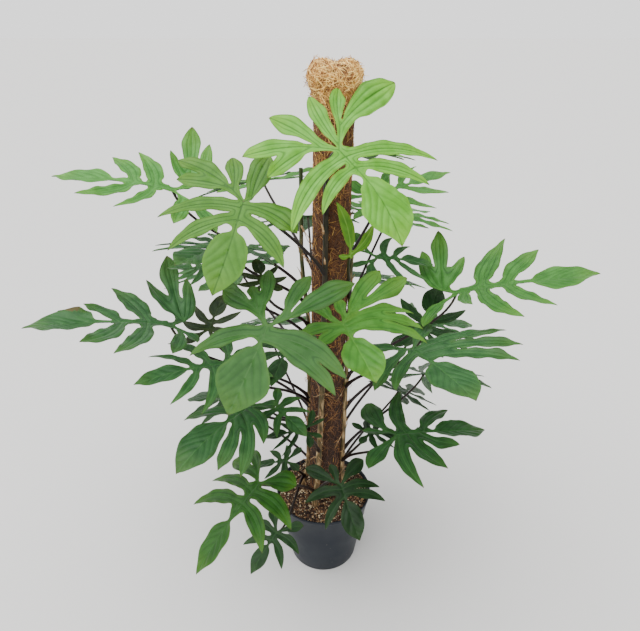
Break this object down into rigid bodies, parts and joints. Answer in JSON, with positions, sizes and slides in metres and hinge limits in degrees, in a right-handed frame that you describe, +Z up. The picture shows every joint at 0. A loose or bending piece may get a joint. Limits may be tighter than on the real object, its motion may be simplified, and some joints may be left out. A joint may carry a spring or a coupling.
{
  "type": "potted philodendron pedatum",
  "caption": "Climbing philodendron with deeply lobed leaves on a coir pole, standing in a round nursery pot.",
  "frame": {"origin": "middle of the pot's flat underside, where it rests", "axes": "+Z up, -Y the plant's front, +X its right as seen from the front"},
  "size_m": [1.1106, 0.9344, 1.2149],
  "materials": {
    "pot_plastic": "moulded, satin",
    "potting_mix": "loose bark, coir and perlite",
    "stake_wood": "planed",
    "coir": "rough fibre",
    "stem_bark": "smooth, slightly waxy",
    "leaf_bright": "waxy, satin",
    "leaf_dark": "waxy, satin",
    "leaf_deep": "waxy, satin",
    "leaf_fresh": "waxy, satin",
    "leaf_light": "waxy, satin",
    "leaf_mid": "waxy, satin",
    "leaf_olive": "waxy, satin",
    "leaf_young": "waxy, satin"
  },
  "bodies": {
    "root": {"pot": "pot_plastic", "potting_mix": "potting_mix", "pole_stake": "stake_wood", "coir_sleeve": "coir", "stem_front": "stem_bark", "stem_left": "stem_bark", "stem_right": "stem_bark", "stem_back_right": "stem_bark", "stem_back_left": "stem_bark", "leaf_crown": "leaf_light", "leaf_upper_left": "leaf_light", "leaf_far_left": "leaf_mid", "leaf_left": "leaf_deep", "leaf_front": "leaf_mid", "leaf_middle": "leaf_bright", "leaf_far_right": "leaf_mid", "leaf_right": "leaf_deep", "leaf_right_upright": "leaf_dark", "leaf_right_back": "leaf_deep", "leaf_low_right": "leaf_dark", "leaf_over_pot": "leaf_dark", "leaf_low_front": "leaf_fresh", "leaf_low_left": "leaf_deep", "leaf_by_rim": "leaf_dark", "leaf_left_small": "leaf_olive", "leaf_left_tiny": "leaf_deep", "leaf_left_behind": "leaf_deep", "leaf_left_lower": "leaf_deep", "leaf_inner_left": "leaf_deep", "leaf_inner": "leaf_dark", "leaf_low_inner": "leaf_dark", "leaf_low_behind": "leaf_dark", "leaf_low_side": "leaf_dark", "leaf_folded": "leaf_olive", "leaf_upper_right": "leaf_mid", "leaf_right_inner": "leaf_deep", "leaf_back_01": "leaf_light", "leaf_back_02": "leaf_mid", "leaf_back_03": "leaf_mid", "leaf_back_04": "leaf_mid", "leaf_back_05": "leaf_deep", "leaf_back_06": "leaf_deep", "leaf_back_07": "leaf_deep", "leaf_back_08": "leaf_deep", "leaf_back_09": "leaf_dark", "leaf_back_10": "leaf_dark", "leaf_back_11": "leaf_dark", "leaf_young": "leaf_young"}
  },
  "joints": []
}
